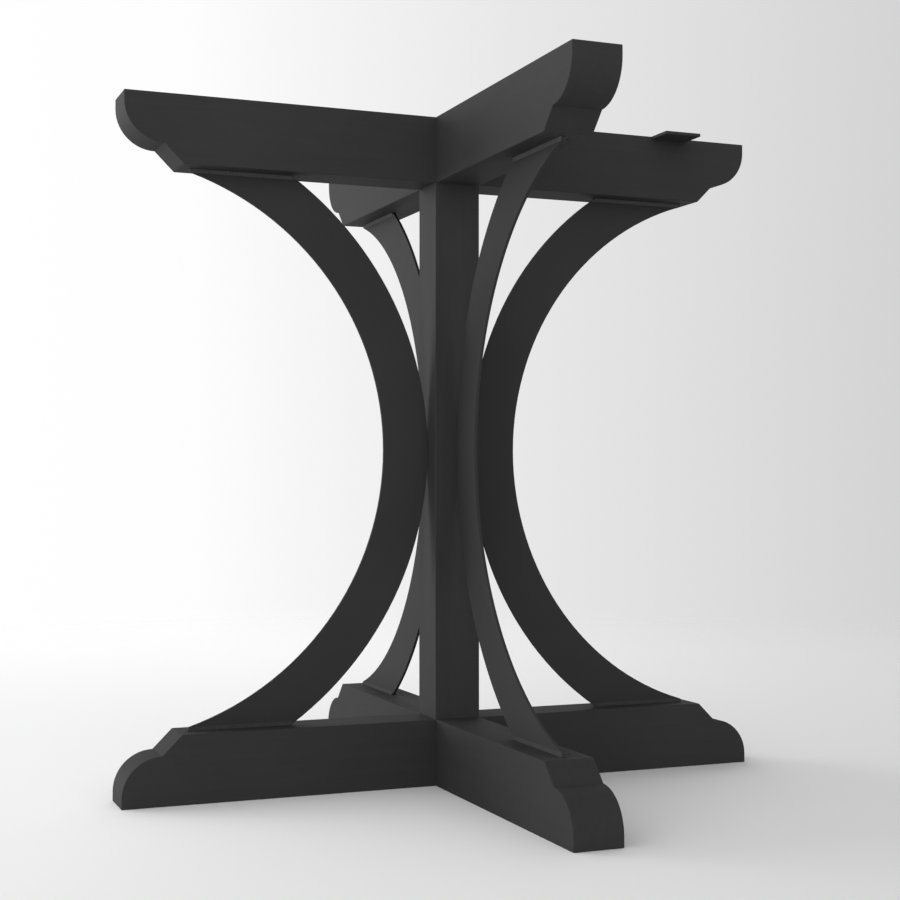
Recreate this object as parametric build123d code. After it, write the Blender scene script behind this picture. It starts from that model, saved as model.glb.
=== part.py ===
"""Pedestal table base: two crossed top beams and two crossed feet of painted timber, a square
post between them, and four bowed steel braces, one in the plane of each arm.

Millimetres. +Z is up, and the origin is on the floor under the middle of the post. The long
beams run along X and the cross beams along Y.
"""
from build123d import *
import os
from math import atan2, degrees

# Overall size
total_height = 711.0
span = 711.0

# Timber sections
beam_width = 50.0
beam_depth = 70.0
post_width = 50.0
arris = 0.5

# Shaped beam ends, from the outer face inwards: a flat, a quarter round, then a 45 degree cut
end_flat = 10.0
end_round = 40.0

# Fit of the half-lap joints where the beams cross
lap_gap = 0.1

# Bowed braces, cut from steel plate; the reach is from the post to where the outer curve ends
brace_reach = 151.5
brace_width = 50.0
brace_thickness = 3.0
brace_post_gap = 0.2
brace_tip_inset = 11.5
weld_height = 4.0
weld_width = 1.5

# Flanges on the ends of the braces, let in flush with the timber
flange_width = 32.0
flange_thickness = 4.0
flange_overhang = 10.0
flange_margin = 4.0
flange_gap = 0.2
flange_screw_inset = 16.0
flange_screw_offset = 10.25

# Countersunk wood screws
screw_head_diameter = 7.6
screw_diameter = 4.0
screw_length = 30.0
screw_tip = 4.0
screw_socket = 2.5
screw_socket_depth = 1.2
screw_hole_gap = 0.2
pilot_gap = 0.05

# Tie rod through the post, with a nut and a washer sunk in each end of the stack
rod_diameter = 10.0
rod_projection = 2.0
rod_hole_gap = 0.5
thread_gap = 0.05
nut_flats = 17.0
nut_height = 8.0
nut_bevel = 1.0
washer_diameter = 28.0
washer_thickness = 2.5
sink_gap = 1.0
sink_depth = 14.0

# Dowels that keep the post from turning
dowel_diameter = 8.0
dowel_length = 38.0
dowel_bevel = 1.0
dowel_offset = 16.5
dowel_gap = 0.05
dowel_end_gap = 1.0

# Fixing plate for the tabletop, let into the top of the right arm
plate_length = 118.0
plate_width = 44.0
plate_thickness = 3.0
plate_end_inset = 97.5
plate_corner = 1.5
plate_gap = 0.2
plate_screw_offset = 12.0
plate_hole_diameter = 5.5
plate_hole_inset = 13.0

# Places that follow from the sizes above
half_span = span / 2
mid_height = total_height / 2
top_underside = total_height - beam_depth
post_height = total_height - 2 * beam_depth
end_cut = beam_depth - end_flat - end_round
flat_reach = half_span - end_round - end_cut
brace_start = post_width / 2 + brace_post_gap
brace_rise = mid_height - beam_depth
brace_radius = (brace_reach**2 + brace_rise**2) / (2 * brace_reach)
brace_inner_radius = brace_radius - brace_width
brace_centre = brace_start + brace_radius
brace_heel = brace_start + brace_reach
brace_tip = flat_reach - brace_tip_inset
flange_start = brace_heel - flange_overhang
flange_end = brace_tip + weld_width + flange_margin
sink_diameter = washer_diameter + 2 * sink_gap
rod_end_depth = sink_depth - washer_thickness - nut_height - rod_projection
plate_centre_x = half_span - plate_end_inset
plate_hole_offset = plate_length / 2 - plate_hole_inset
arm_angles = {"right": 0, "rear": 90, "left": 180, "front": 270}


def upright(radius, height, x=0.0, y=0.0, base=0.0):
    """A cylinder that stands on the height `base`."""
    return Pos(x, y, base + height / 2) * Cylinder(radius, height)


def block(x_range, y_size, z_range):
    """A box between two lengths along X and two heights, centred on Y."""
    x_low, x_high = x_range
    z_low, z_high = z_range
    middle = Pos((x_low + x_high) / 2, 0, (z_low + z_high) / 2)
    return middle * Box(x_high - x_low, y_size, z_high - z_low)


def turned(shape, angle):
    """The shape turned about the post."""
    return Rot(0, 0, angle) * shape


def top_side(shape):
    """A shape of the foot frame turned over to the same place in the top frame."""
    return Pos(0, 0, total_height) * Rot(180, 0, 0) * shape


def screw_profile(gap=0.0, length=screw_length, tip=screw_tip):
    """Half section of a countersunk screw, with its head at height 0 and its point below."""
    head = screw_head_diameter / 2 + gap
    shank = screw_diameter / 2 + gap
    neck = shank - head
    points = [(0, 0), (head, 0), (shank, neck), (shank, tip - length), (0, -length)]
    return make_face(Polyline(*points, close=True))


def screw():
    """A countersunk wood screw, pointing down, with a hexagon socket in its head."""
    body = revolve(Plane.XZ * screw_profile(), Axis.Z)
    socket = extrude(RegularPolygon(screw_socket / 2, 6, major_radius=False), -screw_socket_depth)
    return body - socket


def screw_seat():
    """What a screw clears in the steel that it holds."""
    length = 2 * screw_diameter
    return revolve(Plane.XZ * screw_profile(screw_hole_gap, length, 0), Axis.Z)


def screw_pilot():
    """The plain hole in the timber under a screw's head."""
    return upright(screw_diameter / 2 + pilot_gap, screw_length, base=-screw_length)


def flange_screw_places():
    """The screws of one flange on the right foot, as places of their heads."""
    along = (flange_start + flange_screw_inset, flange_end - flange_screw_inset)
    return [Pos(x, y, beam_depth) for x in along for y in (-flange_screw_offset, flange_screw_offset)]


def dowel_places():
    """Two dowels, one on each side of the tie rod."""
    return [(dowel_offset, 0), (-dowel_offset, 0)]


def beam_blank():
    """A beam with its shaped ends and eased edges, lying on its outer face like a foot."""
    shoulder = half_span - end_round
    inner = Polyline((-shoulder, beam_depth - end_cut), (-flat_reach, beam_depth),
                     (flat_reach, beam_depth), (shoulder, beam_depth - end_cut))
    outer = Polyline((half_span, end_flat), (half_span, 0), (-half_span, 0), (-half_span, end_flat))
    right_round = CenterArc((shoulder, end_flat), end_round, 0, 90)
    left_round = CenterArc((-shoulder, end_flat), end_round, 90, 90)
    outline = make_face(inner + right_round + outer + left_round)
    blank = extrude(Plane.XZ * outline, beam_width / 2, both=True)
    edge_band = (beam_width - arris) / 2
    side_edges = blank.edges().filter_by(lambda edge: abs(edge.center().Y) > edge_band)
    end_edges = blank.edges().filter_by(Axis.Y).group_by(Axis.Z)
    return chamfer(side_edges + end_edges[0] + end_edges[-1], arris)


def flange_pocket():
    """The housing and screw holes for one brace flange, on the right foot."""
    x_range = (flange_start - flange_gap, flange_end + flange_gap)
    z_range = (beam_depth - flange_thickness, beam_depth + arris)
    pocket = block(x_range, flange_width + 2 * flange_gap, z_range)
    return pocket + [place * screw_pilot() for place in flange_screw_places()]


def rod_bore():
    """The tie rod's hole, through the whole stack."""
    return upright(rod_diameter / 2 + rod_hole_gap, total_height)


def nut_sink():
    """The recess for the nut and washer, in the floor side of the feet."""
    return upright(sink_diameter / 2, sink_depth)


def dowel_holes():
    """The dowel holes across the joint between the feet and the post."""
    length = dowel_length + 2 * dowel_end_gap
    radius = dowel_diameter / 2 + dowel_gap
    return [upright(radius, length, x, y, beam_depth - length / 2) for x, y in dowel_places()]


def long_beam():
    """The beam along X, notched from its inner face over the crossing."""
    notch_half = beam_width / 2 + lap_gap
    notch = block((-notch_half, notch_half), 2 * beam_width, ((beam_depth - lap_gap) / 2, 2 * beam_depth))
    beam = beam_blank() - notch - rod_bore() - nut_sink()
    return beam - [turned(flange_pocket(), angle) for angle in (0, 180)]


def cross_beam():
    """The beam along Y, notched from its outer face over the crossing."""
    notch_half = beam_width / 2 + lap_gap
    notch = block((-notch_half, notch_half), 2 * beam_width, (-beam_depth, (beam_depth + lap_gap) / 2))
    beam = turned(beam_blank() - notch, 90) - rod_bore() - dowel_holes()
    return beam - [turned(flange_pocket(), angle) for angle in (90, 270)]


def top_long_beam():
    """The long beam of the top frame, with the housing of the fixing plate."""
    low, high = total_height - plate_thickness, total_height + arris
    x_range = (plate_centre_x - plate_width / 2 - plate_gap, plate_centre_x + plate_width / 2 + plate_gap)
    pocket = block(x_range, 2 * beam_width, (low, high))
    return top_side(long_beam()) - pocket - [place * screw_pilot() for place in plate_screw_places()]


def post():
    """The square post, bored for the tie rod and the dowels."""
    blank = block((-post_width / 2, post_width / 2), post_width, (beam_depth, top_underside))
    blank = chamfer(blank.edges().filter_by(Axis.Z), arris)
    return blank - rod_bore() - dowel_holes() - [top_side(hole) for hole in dowel_holes()]


def brace():
    """The brace of the right arm: a bowed plate welded to a flange at each end."""
    ring = Circle(brace_radius) - Circle(brace_inner_radius)
    clear_height = top_underside - beam_depth
    reach = Pos(flange_end / 2, mid_height) * Rectangle(flange_end, clear_height)
    band = (Pos(brace_centre, mid_height) * ring) & reach
    bow = band & (Pos(brace_tip / 2, mid_height) * Rectangle(brace_tip, clear_height))
    plate = extrude(Plane.XZ * bow, brace_thickness / 2, both=True)
    weld_room = extrude(Plane.XZ * band, brace_thickness / 2 + weld_width, both=True)
    end = flange() + (weld_bead() & weld_room)
    return plate + end + top_side(end)


def flange():
    """One flange, flush with the top of the right foot, with its countersunk holes."""
    sheet = block((flange_start, flange_end), flange_width, (beam_depth - flange_thickness, beam_depth))
    return sheet - [place * screw_seat() for place in flange_screw_places()]


def weld_bead():
    """The fillet weld along both sides of the plate and round its tip, standing on a flange."""
    length = brace_tip - brace_heel + 2 * weld_width
    middle = (brace_heel + brace_tip) / 2
    outline = Pos(middle, 0, beam_depth) * Rectangle(length, brace_thickness + 2 * weld_width)
    return extrude(outline, weld_height, taper=degrees(atan2(weld_width, weld_height)))


def flange_screws():
    """The screws of all four flanges of the feet."""
    one_flange = [place * screw() for place in flange_screw_places()]
    return [turned(item, angle) for angle in arm_angles.values() for item in one_flange]


def tie_rod():
    """The rod, short of both outer faces."""
    return upright(rod_diameter / 2, total_height - 2 * rod_end_depth, base=rod_end_depth)


def washer():
    """The washer on the floor of the lower sink."""
    disc = upright(washer_diameter / 2, washer_thickness, base=sink_depth - washer_thickness)
    return disc - upright(rod_diameter / 2 + rod_hole_gap, sink_depth)


def nut():
    """The hexagon nut under the lower washer, bevelled at its corners."""
    base = sink_depth - washer_thickness - nut_height
    prism = extrude(Pos(0, 0, base) * RegularPolygon(nut_flats / 2, 6, major_radius=False), nut_height)
    corner = nut_flats / 3**0.5
    drum = upright(corner, nut_height, base=base)
    drum = chamfer(drum.edges().filter_by(GeomType.CIRCLE), nut_bevel)
    return (prism & drum) - upright(rod_diameter / 2 + thread_gap, sink_depth)


def dowels():
    """The dowels between the feet and the post."""
    pin = upright(dowel_diameter / 2, dowel_length, base=beam_depth - dowel_length / 2)
    pin = chamfer(pin.edges().filter_by(GeomType.CIRCLE), dowel_bevel)
    return [Pos(x, y, 0) * pin for x, y in dowel_places()]


def plate_screw_places():
    """The screws that hold the fixing plate down on the right arm."""
    offsets = (-plate_screw_offset, plate_screw_offset)
    return [Pos(plate_centre_x, y, total_height) for y in offsets]


def fixing_plate():
    """The plate across the right arm, with a plain hole in each ear for the tabletop."""
    x_range = (plate_centre_x - plate_width / 2, plate_centre_x + plate_width / 2)
    sheet = block(x_range, plate_length, (total_height - plate_thickness, total_height))
    sheet = fillet(sheet.edges().filter_by(Axis.Z), plate_corner)
    sheet = sheet - [place * screw_seat() for place in plate_screw_places()]
    for y in (-plate_hole_offset, plate_hole_offset):
        sheet = sheet - upright(plate_hole_diameter / 2, 2 * total_height, plate_centre_x, y)
    return sheet


def group(items):
    """Separate solids of one node."""
    return Compound(children=[Part(item.wrapped) if not isinstance(item, Part) else item for item in items])


def build():
    """Every node by name."""
    one_brace = brace()
    foot_screws = flange_screws()
    foot_dowels = dowels()
    nodes = {
        "foot_beam_long": long_beam(),
        "foot_beam_cross": cross_beam(),
        "top_beam_long": top_long_beam(),
        "top_beam_cross": top_side(cross_beam()),
        "post": post(),
        "tie_rod": tie_rod(),
        "tie_rod_washers": group([washer(), top_side(washer())]),
        "tie_rod_nuts": group([nut(), top_side(nut())]),
        "post_dowels_lower": group(foot_dowels),
        "post_dowels_upper": group([top_side(item) for item in foot_dowels]),
        "brace_screws_lower": group(foot_screws),
        "brace_screws_upper": group([top_side(item) for item in foot_screws]),
        "fixing_plate": fixing_plate(),
        "fixing_plate_screws": group([place * screw() for place in plate_screw_places()]),
    }
    for side, angle in arm_angles.items():
        nodes[f"brace_{side}"] = turned(one_brace, angle)
    return nodes


os.makedirs("parts", exist_ok=True)
for name, shape in build().items():
    export_step(shape, f"parts/{name}.step")
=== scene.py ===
import math

import bpy
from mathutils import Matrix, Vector


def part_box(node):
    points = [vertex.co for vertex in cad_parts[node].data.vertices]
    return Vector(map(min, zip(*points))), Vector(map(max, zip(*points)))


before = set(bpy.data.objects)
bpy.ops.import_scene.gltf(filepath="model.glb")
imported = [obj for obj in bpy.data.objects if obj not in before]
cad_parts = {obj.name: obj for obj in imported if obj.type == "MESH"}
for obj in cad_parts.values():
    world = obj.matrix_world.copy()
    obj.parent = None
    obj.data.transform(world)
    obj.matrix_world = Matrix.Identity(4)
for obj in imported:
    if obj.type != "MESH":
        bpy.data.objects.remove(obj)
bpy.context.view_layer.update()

# Metres, in the frame of the model: +Z up, the long beams along X, the cross beams along Y

# Black satin paint: its colour, the shares of it that clouds and grain vary between, its
# roughness, and how much lighter the welds are painted near the floor and near the tabletop,
# as a painted highlight that grows towards the tabletop
PAINT = (0.0300, 0.0300, 0.0302)
PAINT_SPECULAR = 0.05
TIMBER_TONES = (0.90, 1.12)
TIMBER_ROUGHNESS = (0.66, 0.74)
STEEL_TONES = (0.93, 1.08)
STEEL_ROUGHNESS = (0.66, 0.72)
WELD_HIGHLIGHT_LOW = 1.35
WELD_HIGHLIGHT_HIGH = 2.15

# The other finishes, and the range that holds most of a noise's values
ZINC_COLOURS = (0.50, 0.50, 0.48, 1.0), (0.60, 0.60, 0.59, 1.0)
ZINC_ROUGHNESS = (0.28, 0.42)
BEECH_COLOURS = (0.52, 0.36, 0.21, 1.0), (0.68, 0.50, 0.32, 1.0)
BEECH_ROUGHNESS = (0.55, 0.7)
NOISE_RANGE = (0.3, 0.7)

# Where a weld shows: between the feet and the top beams, as heights above its flange and as
# distances from the middle of the plate, each range going from nothing to full or back
FOOT_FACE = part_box("foot_beam_long")[1][2]
TOP_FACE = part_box("top_beam_long")[0][2]
WELD_ROOT = (0.0, 0.0003)
WELD_TOE = (0.0036, 0.0042)
WELD_SIDE = (0.0012, 0.0014)

# Camera at the photograph's viewpoint
SENSOR = 36.0
LENS = 64.277
SHIFT = (-0.0175, -0.0037)
CAMERA_PLACE = (-0.6430, -1.6170, 0.3254)
CAMERA_TILT = 0.01975
CAMERA_ROLL = 0.0002
CAMERA_TURN = -0.38894

# Studio: the directions to its right and away from the camera, and the greys of its floor and
# backdrop from left to right, as (place, level), a painted falloff of the light from the left;
# the floor is also painted darker towards the camera
RIGHT = (0.925, -0.379, 0.0)
AWAY = (0.379, 0.925, 0.0)
BACKDROP = [(0.0, 1.0), (0.22, 0.985), (0.32, 0.925), (0.54, 0.812), (1.0, 0.635)]
BACKDROP_HALF_WIDTH = 0.29
FLOOR = [(0.0, 1.0), (0.36, 0.96), (0.54, 0.835), (0.75, 0.725), (1.0, 0.64)]
FLOOR_HALF_WIDTH = 1.2
FLOOR_RADIUS = 6.0
FLOOR_CORNERS = 96
FLOOR_NEAR = -0.7
FLOOR_FAR = 1.3
FLOOR_NEAR_LEVEL = 0.875
FLOOR_FAR_LEVEL = 0.98
FLOOR_FADE = (0.9, 2.6)

# Light: an even sky, soft fills in it as (direction, strength), and two broad suns
AMBIENT = 0.113
FILL_FOCUS = 2.7
FILLS = [
    ((0.707, 0.707, 0.0), 1.20),
    ((0.0, 1.0, 0.0), 1.20),
    ((0.0, -1.0, 0.0), 2.08),
    ((-0.866, 0.0, 0.5), 1.17),
    ((-0.433, 0.75, 0.5), 0.57),
]
SUNS = [
    ("key_rear", (-0.743, 0.669, 0.035), 2.72),
    ("key_front", (-0.848, -0.530, 0.035), 0.73),
]
SUN_SPREAD = 40.0


# Node helpers

def new_material(name):
    mat = bpy.data.materials.new(name)
    mat.use_nodes = True
    mat.node_tree.nodes.clear()
    return mat


def node(tree, kind, **settings):
    made = tree.nodes.new(kind)
    for key, value in settings.items():
        setattr(made, key, value)
    return made


def object_coords(tree, stretch=(1.0, 1.0, 1.0)):
    coords = node(tree, "ShaderNodeTexCoord")
    mapping = node(tree, "ShaderNodeMapping")
    mapping.inputs["Scale"].default_value = stretch
    tree.links.new(coords.outputs["Object"], mapping.inputs["Vector"])
    return mapping.outputs["Vector"]


def grain_coords(tree, grain_axis, finer):
    """Coordinates in which a noise is so many times finer across the grain than along it."""
    return object_coords(tree, tuple(1.0 if axis == grain_axis else finer for axis in "XYZ"))


def noise(tree, vector, scale, detail=2.0, roughness=0.5, distortion=0.0):
    tex = node(tree, "ShaderNodeTexNoise")
    tex.inputs["Scale"].default_value = scale
    tex.inputs["Detail"].default_value = detail
    tex.inputs["Roughness"].default_value = roughness
    tex.inputs["Distortion"].default_value = distortion
    tree.links.new(vector, tex.inputs["Vector"])
    return tex.outputs["Fac"]


def math_node(tree, operation, *values):
    made = node(tree, "ShaderNodeMath", operation=operation)
    for slot, value in zip(made.inputs, values):
        if isinstance(value, (int, float)):
            slot.default_value = value
        else:
            tree.links.new(value, slot)
    return made.outputs[0]


def weighted(tree, first, first_share, second, second_share):
    """The sum of two values, each times its share."""
    first = math_node(tree, "MULTIPLY", first, first_share)
    second = math_node(tree, "MULTIPLY", second, second_share)
    return math_node(tree, "ADD", first, second)


def remap(tree, value, low, high, to_low, to_high, smooth=False):
    made = node(tree, "ShaderNodeMapRange")
    made.interpolation_type = "SMOOTHSTEP" if smooth else "LINEAR"
    limits = {"From Min": low, "From Max": high, "To Min": to_low, "To Max": to_high}
    for name, number in limits.items():
        made.inputs[name].default_value = number
    tree.links.new(value, made.inputs["Value"])
    return made.outputs["Result"]


def ramp(tree, value, stops):
    made = node(tree, "ShaderNodeValToRGB")
    elements = made.color_ramp.elements
    while len(elements) < len(stops):
        elements.new(0.5)
    for element, (place, colour) in zip(elements, stops):
        element.position = place
        element.color = colour
    tree.links.new(value, made.inputs["Fac"])
    return made.outputs["Color"]


def scaled(tree, vector, factor):
    """A colour or vector times a value that varies over the surface."""
    made = node(tree, "ShaderNodeVectorMath", operation="SCALE")
    tree.links.new(vector, made.inputs[0])
    tree.links.new(factor, made.inputs["Scale"])
    return made.outputs["Vector"]


def reach_along(tree, vector, direction):
    """How far a vector goes along a direction."""
    made = node(tree, "ShaderNodeVectorMath", operation="DOT_PRODUCT")
    tree.links.new(vector, made.inputs[0])
    made.inputs[1].default_value = direction
    return made.outputs["Value"]


def bump(tree, height, distance, normal=None):
    made = node(tree, "ShaderNodeBump")
    made.inputs["Strength"].default_value = 1.0
    made.inputs["Distance"].default_value = distance
    tree.links.new(height, made.inputs["Height"])
    if normal is not None:
        tree.links.new(normal, made.inputs["Normal"])
    return made.outputs["Normal"]


def mixed(tree, share, first, second):
    """Two shaders, with the second by its share."""
    made = node(tree, "ShaderNodeMixShader")
    tree.links.new(share, made.inputs["Fac"])
    tree.links.new(first, made.inputs[1])
    tree.links.new(second, made.inputs[2])
    return made.outputs["Shader"]


def finish_material(mat, colour, roughness, normal, metallic=0.0, specular=0.5):
    tree = mat.node_tree
    shader = node(tree, "ShaderNodeBsdfPrincipled")
    shader.inputs["Metallic"].default_value = metallic
    shader.inputs["Specular IOR Level"].default_value = specular
    tree.links.new(colour, shader.inputs["Base Color"])
    tree.links.new(roughness, shader.inputs["Roughness"])
    tree.links.new(normal, shader.inputs["Normal"])
    output = node(tree, "ShaderNodeOutputMaterial")
    tree.links.new(shader.outputs["BSDF"], output.inputs["Surface"])
    return mat


# Materials

def paint_colour(tree, value, tones):
    """The paint's colour, clouded between two shares of itself."""
    low, high = (tuple(channel * tone for channel in PAINT) + (1.0,) for tone in tones)
    return ramp(tree, value, [(0.32, low), (0.68, high)])


def painted_timber(name, grain_axis):
    """Satin black paint over planed hardwood, with the grain just showing along one axis."""
    mat = new_material(name)
    tree = mat.node_tree
    plain = object_coords(tree)
    grain_space = grain_coords(tree, grain_axis, finer=18.0)
    grain = noise(tree, grain_space, scale=9.0, detail=5.0, roughness=0.62, distortion=0.35)
    pores = noise(tree, grain_space, scale=46.0)
    cloud = noise(tree, plain, scale=6.0, detail=3.0, roughness=0.55)
    peel = noise(tree, plain, scale=900.0, detail=1.0, roughness=0.4)
    colour = paint_colour(tree, weighted(tree, cloud, 0.6, grain, 0.4), TIMBER_TONES)
    sheen = weighted(tree, cloud, 0.5, pores, 0.5)
    roughness = remap(tree, sheen, *NOISE_RANGE, *TIMBER_ROUGHNESS)
    normal = bump(tree, weighted(tree, grain, 0.7, pores, 0.3), distance=0.00010)
    normal = bump(tree, peel, distance=0.00003, normal=normal)
    return finish_material(mat, colour, roughness, normal, specular=PAINT_SPECULAR)


def weld_mask(tree, parts, side):
    """1 on the welds of a brace, which stand out to both sides of its plate, and 0 elsewhere; it
    places their ripple and their painted highlight.
    """
    off_foot = math_node(tree, "SUBTRACT", parts.outputs["Z"], FOOT_FACE)
    off_top = math_node(tree, "SUBTRACT", TOP_FACE, parts.outputs["Z"])
    height = math_node(tree, "MINIMUM", off_foot, off_top)
    near = remap(tree, height, *WELD_TOE, 1.0, 0.0)
    above = remap(tree, height, *WELD_ROOT, 0.0, 1.0)
    outside = remap(tree, math_node(tree, "ABSOLUTE", parts.outputs[side]), *WELD_SIDE, 0.0, 1.0)
    return math_node(tree, "MULTIPLY", math_node(tree, "MULTIPLY", near, above), outside)


def painted_steel(name, weld_axis=None):
    """Satin black powder coat, with rippled welds along one axis where it is a brace, and a
    painted highlight on those welds that grows towards the tabletop.
    """
    mat = new_material(name)
    tree = mat.node_tree
    plain = object_coords(tree)
    cloud = noise(tree, plain, scale=5.0, detail=3.0, roughness=0.55)
    peel = noise(tree, plain, scale=620.0, roughness=0.45)
    colour = paint_colour(tree, cloud, STEEL_TONES)
    roughness = remap(tree, cloud, *NOISE_RANGE, *STEEL_ROUGHNESS)
    normal = bump(tree, peel, distance=0.00005)
    if weld_axis is not None:
        parts = node(tree, "ShaderNodeSeparateXYZ")
        tree.links.new(plain, parts.inputs["Vector"])
        mask = weld_mask(tree, parts, "Y" if weld_axis == "X" else "X")
        # Painted highlight: the welds' colour is made lighter, a little at the feet and more at
        # the top beams
        least, most = WELD_HIGHLIGHT_LOW - 1.0, WELD_HIGHLIGHT_HIGH - 1.0
        weld_highlight = remap(tree, parts.outputs["Z"], FOOT_FACE, TOP_FACE, least, most)
        highlight_gain = math_node(tree, "ADD", math_node(tree, "MULTIPLY", weld_highlight, mask), 1.0)
        colour = scaled(tree, colour, highlight_gain)
        waves = node(tree, "ShaderNodeTexWave", wave_type="BANDS", wave_profile="SIN")
        waves.bands_direction = weld_axis
        waves.inputs["Scale"].default_value = 190.0
        waves.inputs["Distortion"].default_value = 1.6
        waves.inputs["Detail"].default_value = 1.0
        tree.links.new(plain, waves.inputs["Vector"])
        ripple = math_node(tree, "MULTIPLY", waves.outputs["Fac"], mask)
        normal = bump(tree, ripple, distance=0.0005, normal=normal)
    return finish_material(mat, colour, roughness, normal, specular=PAINT_SPECULAR)


def plated_steel(name):
    """Zinc plate with a faint crystal pattern."""
    mat = new_material(name)
    tree = mat.node_tree
    plain = object_coords(tree)
    cells = node(tree, "ShaderNodeTexVoronoi", feature="F1")
    cells.inputs["Scale"].default_value = 700.0
    tree.links.new(plain, cells.inputs["Vector"])
    dark, light = ZINC_COLOURS
    colour = ramp(tree, cells.outputs["Distance"], [(0.1, dark), (0.9, light)])
    cloud = noise(tree, plain, scale=160.0, detail=3.0)
    roughness = remap(tree, cloud, *NOISE_RANGE, *ZINC_ROUGHNESS)
    normal = bump(tree, noise(tree, plain, scale=1500.0, detail=1.0), distance=0.00002)
    return finish_material(mat, colour, roughness, normal, metallic=1.0)


def bare_timber(name):
    """Plain beech, with its grain along Z."""
    mat = new_material(name)
    tree = mat.node_tree
    grain_space = grain_coords(tree, "Z", finer=20.0)
    grain = noise(tree, grain_space, scale=30.0, detail=4.0, roughness=0.6, distortion=0.4)
    dark, light = BEECH_COLOURS
    colour = ramp(tree, grain, [(0.3, dark), (0.7, light)])
    roughness = remap(tree, grain, *NOISE_RANGE, *BEECH_ROUGHNESS)
    normal = bump(tree, grain, distance=0.0002)
    return finish_material(mat, colour, roughness, normal)


def dress(name, mat):
    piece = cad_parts[name]
    if not piece.material_slots:
        piece.data.materials.append(mat)
    for slot in piece.material_slots:
        slot.material = mat


def dress_all():
    """Give every node its material."""
    wearers = [
        (painted_timber("black_timber_x", "X"), ["foot_beam_long", "top_beam_long"]),
        (painted_timber("black_timber_y", "Y"), ["foot_beam_cross", "top_beam_cross"]),
        (painted_timber("black_timber_z", "Z"), ["post"]),
        (painted_steel("black_steel_x", "X"), ["brace_right", "brace_left"]),
        (painted_steel("black_steel_y", "Y"), ["brace_rear", "brace_front"]),
        (painted_steel("black_steel_flat"), ["fixing_plate", "fixing_plate_screws",
                                             "brace_screws_lower", "brace_screws_upper"]),
        (plated_steel("zinc_plate"), ["tie_rod", "tie_rod_washers", "tie_rod_nuts"]),
        (bare_timber("beech"), ["post_dowels_lower", "post_dowels_upper"]),
    ]
    for mat, names in wearers:
        for name in names:
            dress(name, mat)


# Camera

def photo_camera():
    data = bpy.data.cameras.new("camera")
    data.sensor_width = SENSOR
    data.lens = LENS
    data.shift_x, data.shift_y = SHIFT
    data.clip_start = 0.05
    data.clip_end = 100.0
    camera = bpy.data.objects.new("camera", data)
    camera.location = CAMERA_PLACE
    camera.rotation_euler = (math.pi / 2 + CAMERA_TILT, CAMERA_ROLL, CAMERA_TURN)
    bpy.context.scene.collection.objects.link(camera)
    bpy.context.scene.camera = camera


# Studio

def lateral_ramp(tree, vector, half_width, stops):
    """Grey that falls from white on the left of the studio to pale grey on its right, a painted
    falloff of the light from the left.
    """
    place = remap(tree, reach_along(tree, vector, RIGHT), -half_width, half_width, 0.0, 1.0)
    return ramp(tree, place, [(at, (level, level, level, 1.0)) for at, level in stops])


def floor_material():
    """The floor's greys, a painted falloff of the light from the left and painted darker towards
    the camera, fading into the backdrop away from the object.
    """
    mat = new_material("studio_floor")
    tree = mat.node_tree
    plain = object_coords(tree)
    length = node(tree, "ShaderNodeVectorMath", operation="LENGTH")
    tree.links.new(plain, length.inputs[0])
    away = reach_along(tree, plain, AWAY)
    depth = remap(tree, away, FLOOR_NEAR, FLOOR_FAR, FLOOR_NEAR_LEVEL, FLOOR_FAR_LEVEL)
    shade = scaled(tree, lateral_ramp(tree, plain, FLOOR_HALF_WIDTH, FLOOR), depth)
    diffuse = node(tree, "ShaderNodeBsdfDiffuse")
    tree.links.new(shade, diffuse.inputs["Color"])
    clear = node(tree, "ShaderNodeBsdfTransparent")
    path = node(tree, "ShaderNodeLightPath")
    seen = math_node(tree, "MAXIMUM", path.outputs["Is Camera Ray"], path.outputs["Is Glossy Ray"])
    fade = remap(tree, length.outputs["Value"], *FLOOR_FADE, 0.0, 1.0, smooth=True)
    share = math_node(tree, "MULTIPLY", seen, fade)
    surface = mixed(tree, share, diffuse.outputs["BSDF"], clear.outputs["BSDF"])
    output = node(tree, "ShaderNodeOutputMaterial")
    tree.links.new(surface, output.inputs["Surface"])
    return mat


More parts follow.
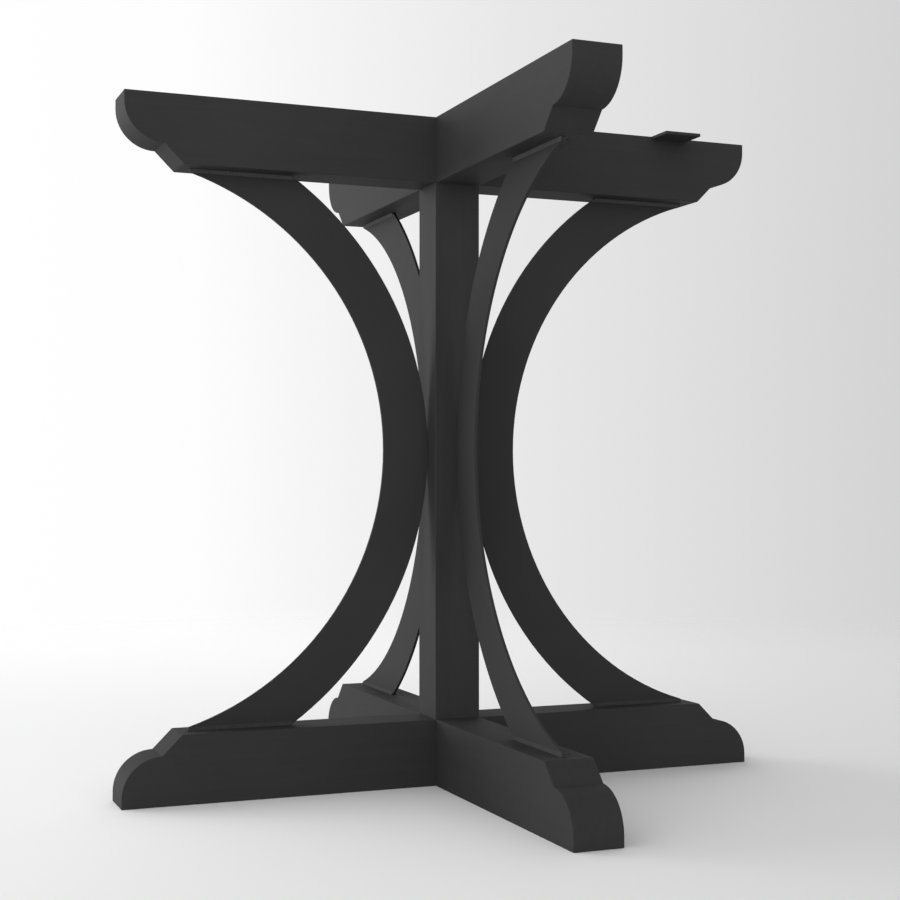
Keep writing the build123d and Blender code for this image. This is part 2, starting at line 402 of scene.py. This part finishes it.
def floor_disc():
    turns = [i * math.tau / FLOOR_CORNERS for i in range(FLOOR_CORNERS)]
    ring = [(FLOOR_RADIUS * math.cos(turn), FLOOR_RADIUS * math.sin(turn), 0.0) for turn in turns]
    mesh = bpy.data.meshes.new("floor")
    mesh.from_pydata(ring, [], [list(range(FLOOR_CORNERS))])
    mesh.materials.append(floor_material())
    floor = bpy.data.objects.new("floor", mesh)
    bpy.context.scene.collection.objects.link(floor)


def studio_world():
    """A sky that lights the object, behind a backdrop that the camera and reflections see."""
    world = bpy.data.worlds.new("studio")
    world.use_nodes = True
    tree = world.node_tree
    tree.nodes.clear()
    view = node(tree, "ShaderNodeTexCoord").outputs["Generated"]
    path = node(tree, "ShaderNodeLightPath")
    seen = math_node(tree, "MAXIMUM", path.outputs["Is Camera Ray"], path.outputs["Is Glossy Ray"])
    seen = math_node(tree, "MAXIMUM", seen, path.outputs["Is Transmission Ray"])
    light = node(tree, "ShaderNodeBackground")
    light.inputs["Color"].default_value = (1.0, 1.0, 1.0, 1.0)
    level = AMBIENT
    for direction, strength in FILLS:
        facing = math_node(tree, "MAXIMUM", reach_along(tree, view, direction), 0.0)
        fill = math_node(tree, "MULTIPLY", math_node(tree, "POWER", facing, FILL_FOCUS), strength)
        level = math_node(tree, "ADD", fill, level)
    tree.links.new(level, light.inputs["Strength"])
    shown = node(tree, "ShaderNodeBackground")
    shown.inputs["Strength"].default_value = 1.0
    tree.links.new(lateral_ramp(tree, view, BACKDROP_HALF_WIDTH, BACKDROP), shown.inputs["Color"])
    surface = mixed(tree, seen, light.outputs["Background"], shown.outputs["Background"])
    output = node(tree, "ShaderNodeOutputWorld")
    tree.links.new(surface, output.inputs["Surface"])
    bpy.context.scene.world = world


def sun(name, towards, strength):
    """A broad soft key, from the direction `towards`."""
    data = bpy.data.lights.new(name, "SUN")
    data.energy = strength
    data.angle = math.radians(SUN_SPREAD)
    lamp = bpy.data.objects.new(name, data)
    lamp.rotation_euler = Vector(towards).to_track_quat("Z", "Y").to_euler()
    bpy.context.scene.collection.objects.link(lamp)


dress_all()
photo_camera()
floor_disc()
studio_world()
for settings in SUNS:
    sun(*settings)

bpy.context.scene.view_settings.view_transform = "Standard"
